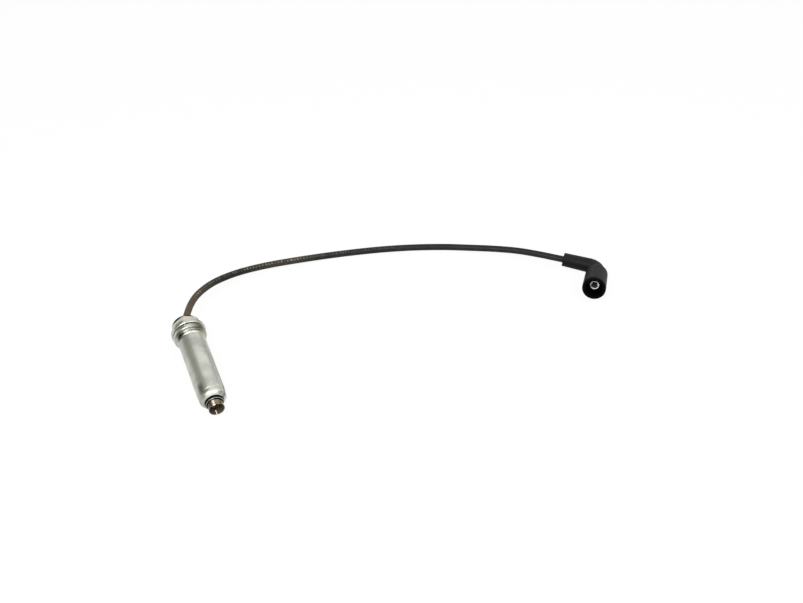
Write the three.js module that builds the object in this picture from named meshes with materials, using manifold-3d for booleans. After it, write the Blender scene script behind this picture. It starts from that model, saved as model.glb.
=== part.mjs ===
// A spark plug wire: a shielded plug connector, a length of ignition cable and an elbow boot.
// Millimetres, +Z up. It lies on a table at z = 0, with the cable curving away behind it.
import * as THREE from "three";
import { mergeVertices } from "three/addons/utils/BufferGeometryUtils.js";
import Module from "manifold-3d";

const wasm = await Module();
wasm.setup();

// Fits and edges
const seatGap = 0.3; // between faces that touch
const slipGap = 0.3; // round a piece that slides into a bore
const edgeBreak = 0.5; // small chamfers on turned and moulded edges
const cutMargin = 1; // how far a cut runs on past the face that it opens

// Ignition cable
const cableDiameter = 7;

// Shield sleeve of the plug connector, drawn from thin steel
const sleeveRadius = 13.5;
const sleeveWall = 0.8;
const sleeveLength = 93.4; // from the back of its rim to its mouth
const rimRadius = 16.5;
const rimThickness = 4.6;
const neckRadius = 14.3;
const neckDip = 2.6; // length of the hollow between the rim and the neck's bead
const neckBead = 1.6; // radius of the bead rolled round the neck
const shoulderLength = 12.6;
const shoulderCrease = 0.7; // how far the shoulder pinches in before it rounds off
const creaseShare = 0.5; // where that is along the shoulder
const mouthRadius = 9.3;

// Hexagonal cap
const capRadius = 17.3;
const capRimThickness = 5;
const hexAcrossFlats = 27.2;
const hexHeight = 7.2;
const hexCorner = 1.6; // corner radius of the hexagon
const hexTurn = 6; // degrees from one corner straight up
const hexBevel = 0.5;
const capWall = 0.9;
const capOpening = 9;
const gasketThickness = 0.8;
const gasketInset = 1.4; // how far the gasket lies inside the rims

// Rubber grommet in the cap
const grommetRadius = 12.5;
const grommetFlange = 1.6; // the one inside the cap
const grommetCollar = 2.2; // the one outside it
const grommetCone = 3.2;
const grommetTipRadius = 5.8;
const grommetRound = 0.8;
const spigotLength = 7;
const spigotWall = 1.3;

// Cable end, resistor and spring inside the insulator
const ferruleWall = 0.6;
const ferruleLength = 11;
const ferruleFloor = 1.5;
const ferruleNib = 1.4; // radius of the nib inside the spring
const ferruleDepth = 9; // from the back of the rim to the ferrule's mouth
const springWire = 0.7;
const springLength = 9;
const springTurns = 5;
const springRadius = 2.4; // of its coil
const resistorRadius = 3.1;
const resistorLength = 27;
const resistorCapWall = 0.5;
const resistorCapLength = 5;

// Socket that snaps on the plug's terminal nut
const studRadius = 2;
const socketRadius = 4.6;
const socketBore = 3.3;
const socketLength = 12.5;
const socketFloor = 2.5;
const socketSlot = 1;
const socketSlotEnd = 4; // from the back of the socket to the end of the slot
const socketStandout = 0.8; // beyond the insulator's end
const clipWire = 0.8;
const clipSetback = 3.4; // from the socket's front to the groove
const clipOpening = 70; // degrees left open in the wire clip

// Nose
const noseRadius = 7.5; // inside the shield
const noseTipRadius = 7.6;
const noseWall = 0.75;
const noseFlare = 2.2; // length of the lip that opens at the tip
const noseReach = 9.9; // beyond the mouth of the shield
const noseHold = 14; // held inside the shield
const noseSlot = 1;
const noseSlotTurn = 5; // degrees from the lowest line, towards the cable's side
const insulatorStep = 2; // from the shoulder of the shield to the insulator's
const insulatorSetback = 7.6; // from the tip of the nose to the insulator's end
const sealRadius = 9.1;
const sealHold = 6; // length held inside the shield
const sealStep = 1.5; // from the shield's mouth to the seal's step
const sealReach = 3; // from the shield's mouth to the end of the seal's lip
const sealLip = 0.4; // thickness of the lip
const sealEdge = 0.35; // its small chamfers
const circlipWire = 0.55;

// Elbow boot
const armLength = 38.2; // from the mouth's axis to the cable end
const armTipRadius = 7.2;
const armRadius = 7.9; // at the bend
const elbowBend = 10; // radius of the bend's centre line
const mouthReach = 51; // from the cable arm's axis to the mouth
const hoodRadius = 12.3;
const hoodRearRadius = 11.7;
const hoodLength = 34;
const hoodChamfer = 6;
const hoodLip = 1.6;
const hoodWall = 3.2;
const hoodDepth = 15; // of the open part in front of the terminal's seat
const hoodStep = 0.7; // how far the rear edge of the hood is broken
const cavityDraft = 0.4; // how much the open part widens to the mouth

// Elbow terminal in the boot
const cageRadius = 4.8;
const cageWall = 0.5;
const cageLength = 15;
const cageRecess = 8.6; // from the boot's mouth to the cage's rim
const cageSlot = 0.9;
const cageSlotMargin = 2.5; // from each end of the cage to its slots
const cageBand = 2.2; // full ring in front of the slots
const leafThickness = 0.4;
const leafWidth = 2.4;
const leafBow = 0.3; // how near the bowed middle comes to the axis, as a share of the foot's place
const leafSetback = 3.5; // from the cage's rim to the leaf's end
const stripWidth = 4;
const stripThickness = 0.8;
const barrelWall = 0.6;
const barrelLength = 12;
const barrelStart = 14; // from the mouth's axis to the barrel
const coreDiameter = 2.4;
const coreLength = 5;

// Where things lie on the table
const exitPlace = [-212.79, 1.01]; // tip of the grommet
const connectorTurn = 22; // degrees, from -Y towards +X
const bootPlace = [179.52, 108.51]; // end of the cable arm
const bootTurn = -13.8;
const bootTilt = 13; // mouth lifted
const bootRoll = 5; // cable arm lifted

// Free cable between its two ends: place, and rise above where it lies on the table. The ends are
// the grommet's tip and the boot's arm as drawn here. When those move, the rest follows in proportion.
const cableStart = [-212.79, 1.01, 14.25];
const cableRun = [
  [-212.5, 5.4, 14.6],
  [-212.2, 10.4, 14.9],
  [-211.6, 16.9, 15.3],
  [-210.1, 26.9, 15.5],
  [-206.7, 38.5, 15.5],
  [-200.5, 50.8, 14.7],
  [-191.4, 63.6, 13.1],
  [-177.6, 77.4, 10.4],
  [-160.2, 90.3, 7.3],
  [-137.6, 102.7, 4],
  [-111.5, 113.1, 1.4],
  [-82.8, 121.5, 0.2],
  [-51.3, 128.2, 0],
  [-17.7, 133.7, 0],
  [16.2, 137.1, 0],
  [50.1, 138.1, 0],
  [79.7, 136.2, 0.5],
  [107, 131.5, 2.9],
  [132, 124.5, 5.8],
  [154.9, 116.2, 7.6],
  [170, 110.9, 7.8],
];
const cableFinish = [179.52, 108.51, 7.2];
const tableGap = 0.1; // under the cable

const boreSides = 16; // sides of a small round bore
const degrees = Math.PI / 180;
const cableRadius = cableDiameter / 2;

const finishes = {
  zinc: { color: 0xb9bbb6, roughness: 0.34, metalness: 1 },
  brightZinc: { color: 0xc9cac4, roughness: 0.2, metalness: 1 },
  bronze: { color: 0x8a6a50, roughness: 0.22, metalness: 1 },
  brass: { color: 0xc8a860, roughness: 0.3, metalness: 1 },
  tinned: { color: 0xd8dad8, roughness: 0.2, metalness: 1 },
  springSteel: { color: 0xb4b6b8, roughness: 0.3, metalness: 1 },
  phenolic: { color: 0x3a2a22, roughness: 0.4, metalness: 0 },
  ceramic: { color: 0xd9d2c2, roughness: 0.5, metalness: 0 },
  rubber: { color: 0x151617, roughness: 0.75, metalness: 0 },
  silicone: { color: 0x24252b, roughness: 0.55, metalness: 0 },
  core: { color: 0x2c2a28, roughness: 0.8, metalness: 0 },
};

// Solids

function solid(geometry) {
  const plain = geometry.clone();
  plain.deleteAttribute("normal");
  plain.deleteAttribute("uv");
  const merged = mergeVertices(plain, 1e-4);
  return new wasm.Manifold(
    new wasm.Mesh({
      numProp: 3,
      vertProperties: new Float32Array(merged.attributes.position.array),
      triVerts: new Uint32Array(merged.index.array),
    }),
  );
}

function geometryOf(shape) {
  const mesh = shape.getMesh();
  const geometry = new THREE.BufferGeometry();
  geometry.setAttribute("position", new THREE.BufferAttribute(mesh.vertProperties, 3));
  geometry.setIndex(new THREE.BufferAttribute(mesh.triVerts, 1));
  geometry.computeVertexNormals();
  return geometry;
}

// Points [radius, y] on a round stretch of a profile, from one angle to another in degrees.
function arc(radius, y, bend, from, to, steps = 6) {
  return Array.from({ length: steps + 1 }, (_, i) => {
    const angle = (from + ((to - from) * i) / steps) * degrees;
    return [radius + bend * Math.cos(angle), y + bend * Math.sin(angle)];
  });
}

// A closed profile turned about Y. Its points may run either way round.
function turned(profile, sides = 32) {
  const points = profile.map(([radius, y]) => new THREE.Vector2(Math.max(radius, 0), y));
  if (THREE.ShapeUtils.area(points) < 0) points.reverse();
  points.push(points[0].clone());
  return solid(new THREE.LatheGeometry(points, sides));
}

// A round bar or hole from y0 to y1.
function bar(radius, y0, y1, sides = 32) {
  return turned([[0, y0], [radius, y0], [radius, y1], [0, y1]], sides);
}

// A tube's wall from y0 to y1.
function ring(inner, outer, y0, y1, sides = 32) {
  return turned([[inner, y0], [outer, y0], [outer, y1], [inner, y1]], sides);
}

function block(width, length, height, x = 0, y = 0, z = 0) {
  return solid(new THREE.BoxGeometry(width, length, height).translate(x, y, z));
}

function circleShape(radius, sides) {
  const points = Array.from({ length: sides }, (_, i) => {
    const angle = (2 * Math.PI * i) / sides;
    return new THREE.Vector2(radius * Math.cos(angle), radius * Math.sin(angle));
  });
  return new THREE.Shape(points);
}

// A round section carried along a curve.
function swept(curve, radius, steps, sides = 10) {
  const geometry = new THREE.ExtrudeGeometry(circleShape(radius, sides), {
    extrudePath: curve,
    steps,
    bevelEnabled: false,
  });
  return solid(geometry);
}

function piece(name, shape, finish) {
  const mesh = new THREE.Mesh(geometryOf(shape), new THREE.MeshStandardMaterial(finish));
  mesh.name = name;
  return mesh;
}

class Coil extends THREE.Curve {
  constructor(radius, y0, y1, turns) {
    super();
    Object.assign(this, { radius, y0, y1, turns });
  }
  getPoint(t, target = new THREE.Vector3()) {
    const angle = 2 * Math.PI * this.turns * t;
    const y = this.y0 + (this.y1 - this.y0) * t;
    return target.set(this.radius * Math.cos(angle), y, this.radius * Math.sin(angle));
  }
}

// Plug connector. Its axis is Y: y = 0 at the back of the sleeve's rim, the nose towards +Y.

const sleeveBore = sleeveRadius - sleeveWall;
const noseTip = sleeveLength + noseReach;
const insulatorEnd = noseTip - insulatorSetback;
const noseBore = Math.min(noseRadius, noseTipRadius) - noseWall;
const capFront = -(gasketThickness + 2 * seatGap);
const capRimBack = capFront - capRimThickness;
const capBack = capRimBack - hexHeight;
const capBore = hexAcrossFlats / 2 - capWall;
const grommetTip = capBack - seatGap - grommetCollar - grommetCone;

// The sleeve's straight tube and its shoulder, for the outer skin or the one a wall further in.
function sleeveSkin(inset) {
  const start = sleeveLength - shoulderLength;
  const crease = start + shoulderLength * creaseShare;
  const creaseRadius = sleeveRadius - shoulderCrease - inset;
  const drop = creaseRadius - (mouthRadius + (sleeveWall - inset));
  const run = sleeveLength - crease - (inset > 0 ? sleeveWall : 0);
  const steps = inset > 0 ? 3 : 6;
  const rounded = Array.from({ length: steps + 1 }, (_, i) => {
    const angle = (i / steps) * 90 * degrees;
    return [creaseRadius - drop * (1 - Math.cos(angle)), crease + run * Math.sin(angle)];
  });
  return [
    [sleeveRadius - inset, start],
    [sleeveRadius - inset - shoulderCrease * 0.3, start + (crease - start) * 0.6],
    ...rounded,
  ];
}

function shieldSleeve() {
  const half = rimThickness / 2;
  const root = neckRadius - neckBead;
  const neckY = rimThickness + neckDip + neckBead;
  const outer = [
    ...arc(rimRadius - half, half, half, -90, 90, 7),
    ...arc(root + neckDip, rimThickness + neckDip * 0.6, neckDip * 0.6, -90, -150, 2),
    ...arc(root, neckY, neckBead, -60, 70, 5),
    [sleeveRadius, neckY + neckBead * 1.2],
    ...sleeveSkin(0),
  ];
  const lip = [mouthRadius, sleeveLength - sleeveWall * 0.5];
  const inner = sleeveSkin(sleeveWall).reverse();
  const shape = turned([[sleeveBore, 0], ...outer, lip, ...inner], 36);
  return piece("shield_sleeve", shape, finishes.zinc);
}

function rimGasket() {
  const y1 = -seatGap;
  const y0 = y1 - gasketThickness;
  const shape = ring(sleeveBore, rimRadius - gasketInset, y0, y1, 36);
  return piece("rim_gasket", shape, finishes.rubber);
}

function hexagon(acrossFlats, corner) {
  const reach = acrossFlats / Math.sqrt(3);
  const centre = reach - (2 * corner) / Math.sqrt(3);
  const points = [];
  for (let i = 0; i < 6; i += 1) {
    const middle = 60 * i + 90;
    for (const turn of [-30, -10, 10, 30]) {
      const angle = (middle + turn) * degrees;
      const x = centre * Math.cos(middle * degrees) + corner * Math.cos(angle);
      const z = centre * Math.sin(middle * degrees) + corner * Math.sin(angle);
      points.push(new THREE.Vector2(x, z));
    }
  }
  return new THREE.Shape(points);
}

// A pressed steel cap: a round rim under a hollow hexagon that takes a wrench.
function hexCap() {
  const half = capRimThickness / 2;
  const prism = new THREE.ExtrudeGeometry(hexagon(hexAcrossFlats - 2 * hexBevel, hexCorner), {
    depth: hexHeight + half - 2 * hexBevel,
    bevelThickness: hexBevel,
    bevelSize: hexBevel,
    bevelSegments: 2,
  });
  prism.translate(0, 0, hexBevel).rotateX(-90 * degrees).translate(0, capBack, 0);
  const crown = bar(hexAcrossFlats / 2 + hexCorner, capBack, capFront, 40);
  const rim = turned([[0, capFront], ...arc(capRadius - half, capFront - half, half, 90, -90, 6),
    [0, capRimBack]], 40);
  const skirt = bar(capBore, capBack + capWall, capFront + cutMargin);
  const opening = bar(capOpening, capBack - cutMargin, capFront);
  const hex = solid(prism).rotate([0, hexTurn, 0]).intersect(crown);
  return piece("hex_cap", hex.add(rim).subtract(skirt).subtract(opening), finishes.brightZinc);
}

// A flange and a collar grip the cap's wall, a cone rises to the cable, a spigot plugs the insulator.
function cableGrommet(cableHole) {
  const inside = capBack + capWall + seatGap;
  const flangeEnd = inside + grommetFlange;
  const outside = capBack - seatGap;
  const top = outside - grommetCollar;
  const shape = turned([
    [0, grommetTip],
    ...arc(grommetTipRadius - grommetRound, grommetTip + grommetRound, grommetRound, -90, -20, 3),
    [grommetRadius - 2 * grommetRound, top],
    ...arc(grommetRadius - grommetRound, top + grommetRound, grommetRound, -70, 0, 3),
    [grommetRadius, outside],
    [capOpening - slipGap, outside],
    [capOpening - slipGap, inside],
    [capBore - slipGap, inside],
    [capBore - slipGap, flangeEnd],
    [cableRadius + slipGap + spigotWall, flangeEnd],
    [cableRadius + slipGap + spigotWall, flangeEnd + spigotLength],
    [0, flangeEnd + spigotLength],
  ], 28);
  return piece("cable_grommet", shape.subtract(cableHole), finishes.rubber);
}

const spigotEnd = capBack + capWall + seatGap + grommetFlange + spigotLength;
const insulatorBack = spigotEnd - spigotLength + seatGap;
const ferruleRadius = cableRadius + slipGap + ferruleWall;
const ferruleEnd = ferruleDepth + ferruleLength;
const resistorBack = ferruleEnd + springLength;
const resistorEnd = resistorBack + resistorLength;
const resistorCapRadius = resistorRadius + slipGap + resistorCapWall;
const stackBore = Math.max(ferruleRadius, resistorCapRadius, cableRadius + slipGap + spigotWall) + slipGap;
const stackEnd = resistorEnd + seatGap;
const socketBack = insulatorEnd - socketLength + socketStandout;
const socketFront = socketBack + socketLength;
const clipGroove = socketRadius - clipWire * 0.6; // radius of the groove's floor
const clipGrooveBack = socketFront - clipSetback;
const clipGrooveLength = clipWire + 2 * seatGap;
const clipRadius = clipGroove + seatGap + clipWire / 2;
const wellRadius = clipRadius + clipWire / 2 + slipGap;

function insulatorBody() {
  const outer = sleeveBore - slipGap;
  const neck = noseBore - slipGap;
  const shoulder = sleeveLength - shoulderLength - insulatorStep;
  const body = turned([
    [0, insulatorBack],
    [capBore - slipGap, insulatorBack],
    [capBore - slipGap, 0],
    [outer, 0],
    [outer, shoulder - 2 * edgeBreak],
    [outer - 2 * edgeBreak, shoulder],
    [neck, shoulder],
    [neck, insulatorEnd - edgeBreak],
    [neck - edgeBreak, insulatorEnd],
    [0, insulatorEnd],
  ]);
  const stack = bar(stackBore, insulatorBack - cutMargin, stackEnd);
  const stud = bar(studRadius + slipGap, stackEnd - cutMargin, insulatorEnd, 20);
  const well = bar(wellRadius, socketBack - seatGap, insulatorEnd + cutMargin);
  return piece("insulator_body", body.subtract(stack).subtract(stud).subtract(well), finishes.phenolic);
}

// A cup crimped on the cable's end.
function cableFerrule() {
  const floor = ferruleEnd - ferruleFloor;
  const nib = ferruleEnd + springWire * 2;
  const shape = turned([
    [cableRadius + slipGap, ferruleDepth],
    [ferruleRadius, ferruleDepth],
    [ferruleRadius, ferruleEnd],
    [ferruleNib, ferruleEnd],
    [ferruleNib - 0.2, nib],
    [0, nib],
    [0, floor],
    [cableRadius + slipGap, floor],
  ], 24);
  return piece("cable_ferrule", shape, finishes.brass);
}

function contactSpring() {
  const half = springWire / 2;
  const path = new Coil(springRadius, ferruleEnd + seatGap + half, resistorBack - seatGap - half, springTurns);
  return piece("contact_spring", swept(path, half, springTurns * 9, 6), finishes.springSteel);
}

function resistorRod() {
  const shape = bar(resistorRadius, resistorBack + resistorCapWall + seatGap,
    resistorEnd - resistorCapWall - seatGap, 24);
  return piece("resistor_rod", shape, finishes.ceramic);
}

function resistorCap(name, end, way) {
  const shape = turned([
    [0, end],
    [resistorCapRadius, end],
    [resistorCapRadius, end + way * resistorCapLength],
    [resistorRadius + slipGap, end + way * resistorCapLength],
    [resistorRadius + slipGap, end + way * resistorCapWall],
    [0, end + way * resistorCapWall],
  ], 24);
  return piece(name, shape, finishes.tinned);
}

// A turned brass socket with cross slots, on a stud that meets the resistor.
function plugTerminal() {
  const floor = socketBack + socketFloor;
  const grooveFront = clipGrooveBack + clipGrooveLength;
  const body = turned([
    [0, stackEnd],
    [studRadius, stackEnd],
    [studRadius, socketBack],
    [socketRadius, socketBack],
    [socketRadius, clipGrooveBack],
    [clipGroove, clipGrooveBack],
    [clipGroove, grooveFront],
    [socketRadius, grooveFront],
    [socketRadius, socketFront - edgeBreak],
    [socketRadius - edgeBreak, socketFront],
    [socketBore, socketFront],
    [socketBore, floor],
    [0, floor],
  ], 24);
  const slotLength = socketLength - socketSlotEnd + cutMargin;
  const y = socketBack + socketSlotEnd + slotLength / 2;
  const across = block(socketSlot, slotLength, 3 * socketRadius, 0, y);
  return piece("plug_terminal", body.subtract(across), finishes.brass);
}

function terminalClip() {
  const y = clipGrooveBack + clipGrooveLength / 2;
  const open = clipOpening * degrees;
  const path = new THREE.EllipseCurve(0, 0, clipRadius, clipRadius, open / 2, 2 * Math.PI - open / 2);
  const points = path.getPoints(24).map((p) => new THREE.Vector3(p.x, y, p.y));
  const curve = new THREE.CatmullRomCurve3(points);
  return piece("terminal_clip", swept(curve, clipWire / 2, 24, 6), finishes.springSteel);
}

// A thin rolled sleeve round the insulator's end, open along one seam.
function noseSleeve() {
  const back = sleeveLength - noseHold;
  const roll = noseWall / 2;
  const tube = turned([
    [noseBore, back],
    [noseRadius, back],
    [noseRadius, sleeveLength + sealReach],
    [noseTipRadius - roll * 0.5, noseTip - noseFlare],
    ...arc(noseTipRadius - roll, noseTip - roll, roll, 0, 180, 5),
    [noseBore, noseTip - noseFlare],
  ], 32);
  const seam = block(noseSlot, noseReach * 2, 4 * noseWall, 0, noseTip, -noseTipRadius);
  return piece("nose_sleeve", tube.subtract(seam.rotate([0, noseSlotTurn, 0])), finishes.bronze);
}

// A stepped rubber bush round the nose sleeve, with a lip in front of the shield's mouth.
function noseSeal() {
  const bore = noseRadius + slipGap;
  const lip = bore + sealLip;
  const step = sleeveLength + sealStep;
  const shape = turned([
    [bore, sleeveLength - sealHold],
    [sealRadius, sleeveLength - sealHold],
    [sealRadius, step - sealEdge],
    [sealRadius - sealEdge, step],
    [lip, step],
    [lip, sleeveLength + sealReach - sealEdge],
    [lip - sealEdge, sleeveLength + sealReach],
    [bore, sleeveLength + sealReach],
  ], 36);
  return piece("nose_seal", shape, finishes.rubber);
}

// A bright wire ring that grips the seal's lip.
function noseCirclip() {
  const half = circlipWire / 2;
  const radius = noseRadius + slipGap + sealLip + slipGap * 0.5 + half;
  const y = sleeveLength + sealStep + seatGap + half;
  return piece("nose_circlip", turned(arc(radius, y, half, 0, 300, 5), 30), finishes.brightZinc);
}

// Elbow boot. The mouth faces +Y and the cable arm points to +X from the origin.

const cageFront = mouthReach - cageRecess;
const cageBack = cageFront - cageLength;
const armBore = cableRadius + slipGap;
const barrelRadius = armBore + barrelWall;
const barrelEnd = barrelStart + barrelLength;
const stripRoom = Math.hypot(stripWidth, stripThickness) / 2 + slipGap;
const hoodBack = mouthReach - hoodLength;
const joinOverlap = 0.2; // of stretches that are joined into one body
const terminalSeat = mouthReach - hoodDepth;

function towardsCable(shape) {
  return shape.rotate([0, 0, -90]);
}

// A quarter bend in the XY plane, from the arm's axis to the hood's.
function quarterBend(radius) {
  const pull = radius * 0.4477; // keeps a cubic curve close to a circle's arc
  return new THREE.CubicBezierCurve3(
    new THREE.Vector3(radius, 0, 0),
    new THREE.Vector3(pull, 0, 0),
    new THREE.Vector3(0, pull, 0),
    new THREE.Vector3(0, radius, 0),
  );
}

function elbowBoot(cableHole) {
  const arm = towardsCable(turned([
    [0, elbowBend - joinOverlap],
    [armRadius, elbowBend - joinOverlap],
    [armTipRadius, armLength - edgeBreak],
    [armTipRadius - edgeBreak, armLength],
    [0, armLength],
  ], boreSides * 2));
  const bend = swept(quarterBend(elbowBend), armRadius, 9, boreSides * 2);
  const hood = turned([
    [0, elbowBend - joinOverlap],
    [armRadius, elbowBend - joinOverlap],
    [armRadius, hoodBack - hoodChamfer],
    [hoodRearRadius - hoodStep, hoodBack - hoodStep],
    [hoodRearRadius, hoodBack + hoodStep],
    [hoodRadius, mouthReach - hoodLip * 2],
    ...arc(hoodRadius - hoodLip, mouthReach - hoodLip, hoodLip, 0, 90, 4),
    [0, mouthReach],
  ], 36);
  const mouth = hoodRadius - hoodWall;
  const cavity = turned([
    [0, terminalSeat],
    [mouth - cavityDraft, terminalSeat],
    [mouth, mouthReach + cutMargin],
    [0, mouthReach + cutMargin],
  ], 36);
  const cageWay = bar(cageRadius + slipGap, cageBack - seatGap, terminalSeat + cutMargin, boreSides * 1.5);
  const stripWay = bar(stripRoom, -stripRoom * 0.6, cageBack, boreSides);
  const footWay = towardsCable(bar(stripRoom, 0, barrelStart, boreSides));
  const barrelWay = towardsCable(bar(barrelRadius + slipGap, barrelStart - seatGap, barrelEnd + seatGap,
    boreSides * 1.5));
  const hollow = cavity.add(cageWay).add(stripWay).add(footWay).add(barrelWay).add(cableHole);
  return piece("elbow_boot", arm.add(bend).add(hood).subtract(hollow), finishes.rubber);
}

// One stamped piece: a slotted socket, a strip that turns the corner and a barrel on the cable.
function coilTerminal() {
  const sides = 24;
  const wall = ring(cageRadius - cageWall, cageRadius, cageBack, cageFront - cageBand, sides);
  const band = turned([
    [cageRadius - cageWall, cageFront - cageBand - joinOverlap],
    [cageRadius, cageFront - cageBand - joinOverlap],
    ...arc(cageRadius - cageWall * 0.5, cageFront - cageWall * 0.5, cageWall * 0.5, 0, 180, 4),
  ], sides);
  const floor = bar(cageRadius, cageBack, cageBack + stripThickness, sides);
  const slotY = (cageBack + cageFront) / 2;
  const slots = [45, 135].map((turn) =>
    block(cageSlot, cageLength - 2 * cageSlotMargin, 3 * cageRadius, 0, slotY).rotate([0, turn, 0]));
  const cage = wall.subtract(slots[0]).subtract(slots[1]).add(band).add(floor);
  const half = stripThickness / 2;
  const tab = block(stripThickness, cageBack + 2 * half, stripWidth, 0, cageBack / 2);
  const foot = block(barrelStart + 2 * half, stripThickness, stripWidth, barrelStart / 2, 0);
  const barrel = towardsCable(ring(armBore, barrelRadius, barrelStart, barrelEnd, sides));
  const plate = towardsCable(bar(barrelRadius, barrelStart, barrelStart + stripThickness, sides));
  return piece("coil_terminal", cage.add(tab).add(foot).add(barrel).add(plate), finishes.tinned);
}

// Two bowed leaves inside the socket that press on the coil's post.
function contactLeaf(name, side) {
  const inner = cageRadius - cageWall - seatGap;
  const y0 = cageBack + stripThickness + seatGap;
  const y1 = cageFront - leafSetback;
  const middle = (y0 + y1) / 2;
  const foot = Math.sqrt(inner ** 2 - (leafWidth / 2) ** 2); // where its edges come near the wall
  const bowed = foot * leafBow;
  const bow = new THREE.Shape();
  bow.moveTo(foot, y0);
  bow.quadraticCurveTo(bowed, middle, foot, y1);
  bow.lineTo(foot - leafThickness, y1);
  bow.quadraticCurveTo(bowed - leafThickness, middle, foot - leafThickness, y0);
  const leaf = solid(new THREE.ExtrudeGeometry(bow, { depth: leafWidth, bevelEnabled: false, curveSegments: 8 })
    .translate(0, 0, -leafWidth / 2));
  return piece(name, leaf.rotate([0, side, 0]), finishes.brass);
}

// Stripped core of the cable, tucked under the barrel's plate.
function cableCore() {
  const y0 = barrelStart + stripThickness + seatGap;
  const shape = towardsCable(bar(coreDiameter / 2, y0, y0 + coreLength, 16));
  return piece("cable_core", shape, finishes.core);
}

// Placing

function pointing(turn, tilt, roll) {
  const heading = new THREE.Group();
  heading.rotation.z = turn * degrees;
  const lie = new THREE.Group();
  lie.rotation.set(tilt * degrees, roll * degrees, Math.PI);
  heading.add(lie);
  return { heading, lie };
}

// Moves a group so that a point on it stands over a place and its lowest point is on the table.
function layDown({ heading, lie }, point, place) {
  heading.updateMatrixWorld(true);
  const there = lie.localToWorld(point.clone());
  const lowest = new THREE.Box3().setFromObject(heading, true).min.z;
  heading.position.set(place[0] - there.x, place[1] - there.y, -lowest);
  heading.updateMatrixWorld(true);
}

// Equal steps on a straight line inside a turned group, both ends included.
function stepsIn({ lie }, from, to, count) {
  const line = new THREE.Line3(new THREE.Vector3(...from), new THREE.Vector3(...to));
  return Array.from({ length: count + 1 }, (_, i) =>
    lie.localToWorld(line.at(i / count, new THREE.Vector3())));
}

// From the ferrule to the barrel's core: straight inside the connector and the boot, free between.
function cablePath() {
  const rest = cableRadius + tableGap;
  const first = [0, ferruleEnd - ferruleFloor - seatGap, 0];
  const last = [barrelStart + stripThickness + coreLength + 2 * seatGap, 0, 0];
  const inside = stepsIn(connector, first, [0, grommetTip, 0], 6);
  const outside = stepsIn(boot, [armLength, 0, 0], last, 2);
  const exit = inside.at(-1);
  const entry = outside[0];
  const drawnLength = cableFinish[0] - cableStart[0];
  const free = cableRun.map(([x, y, rise]) => {
    const share = (x - cableStart[0]) / drawnLength;
    const mix = (atStart, atFinish) => THREE.MathUtils.lerp(atStart, atFinish, share);
    return new THREE.Vector3(
      x + mix(exit.x - cableStart[0], entry.x - cableFinish[0]),
      y + mix(exit.y - cableStart[1], entry.y - cableFinish[1]),
      rest + rise * mix((exit.z - rest) / cableStart[2], (entry.z - rest) / cableFinish[2]),
    );
  });
  return new THREE.CatmullRomCurve3([...inside, ...free, ...outside]);
}

// The cable's own path with a little room round it, seen from inside a turned group.
function cableHoleIn({ heading, lie }) {
  heading.updateMatrixWorld(true);
  const inverse = lie.matrixWorld.clone().invert();
  const points = cableCurve.getPoints(120).map((p) => p.applyMatrix4(inverse));
  return swept(new THREE.CatmullRomCurve3(points), cableRadius + slipGap, 120, boreSides);
}

// The connector rests on its rim and on the far end of the straight tube.
const restRun = sleeveLength - shoulderLength - rimThickness;
const restTilt = Math.asin((rimRadius - sleeveRadius) / restRun) / degrees;
const connector = pointing(connectorTurn, restTilt, 0);
connector.lie.add(shieldSleeve(), rimGasket(), hexCap());
layDown(connector, new THREE.Vector3(0, grommetTip, 0), exitPlace);

const boot = pointing(bootTurn, -bootTilt, bootRoll);
const blank = elbowBoot(bar(1, -1, 1));
boot.lie.add(blank);
layDown(boot, new THREE.Vector3(armLength, 0, 0), bootPlace);
boot.lie.remove(blank);

const cableCurve = cablePath();

connector.lie.add(
  cableGrommet(cableHoleIn(connector)),
  insulatorBody(),
  cableFerrule(),
  contactSpring(),
  resistorRod(),
  resistorCap("resistor_back_cap", resistorBack, 1),
  resistorCap("resistor_front_cap", resistorEnd, -1),
  plugTerminal(),
  terminalClip(),
  noseSleeve(),
  noseSeal(),
  noseCirclip(),
);

boot.lie.add(
  elbowBoot(cableHoleIn(boot)),
  coilTerminal(),
  contactLeaf("contact_leaf_a", 0),
  contactLeaf("contact_leaf_b", 180),
  cableCore(),
);

const cable = piece("ignition_cable", swept(cableCurve, cableRadius, 68, 10), finishes.silicone);

const sparkPlugWire = new THREE.Group();
sparkPlugWire.add(connector.heading, boot.heading, cable);
sparkPlugWire.updateMatrixWorld(true);

export default sparkPlugWire;
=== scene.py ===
import math

import bpy
import numpy as np
from mathutils import Matrix


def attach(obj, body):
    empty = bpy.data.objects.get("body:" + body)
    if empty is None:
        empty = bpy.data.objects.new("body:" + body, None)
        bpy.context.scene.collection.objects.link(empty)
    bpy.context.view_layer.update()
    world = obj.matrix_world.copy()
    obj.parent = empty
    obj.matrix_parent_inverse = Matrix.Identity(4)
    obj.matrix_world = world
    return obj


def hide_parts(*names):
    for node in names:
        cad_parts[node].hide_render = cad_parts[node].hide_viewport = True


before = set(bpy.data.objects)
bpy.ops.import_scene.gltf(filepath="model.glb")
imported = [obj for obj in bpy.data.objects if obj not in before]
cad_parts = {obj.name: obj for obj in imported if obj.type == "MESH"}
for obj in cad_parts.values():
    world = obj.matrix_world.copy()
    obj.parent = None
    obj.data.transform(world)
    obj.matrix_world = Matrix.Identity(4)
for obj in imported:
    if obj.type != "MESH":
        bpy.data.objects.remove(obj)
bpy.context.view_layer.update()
mm = 0.001

# Lengths are in millimetres until a grid is placed, and the scene is in metres.


def turnX(angle):
    c, s = math.cos(math.radians(angle)), math.sin(math.radians(angle))
    return np.array([[1, 0, 0], [0, c, -s], [0, s, c]])


def turnY(angle):
    c, s = math.cos(math.radians(angle)), math.sin(math.radians(angle))
    return np.array([[c, 0, s], [0, 1, 0], [-s, 0, c]])


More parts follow.
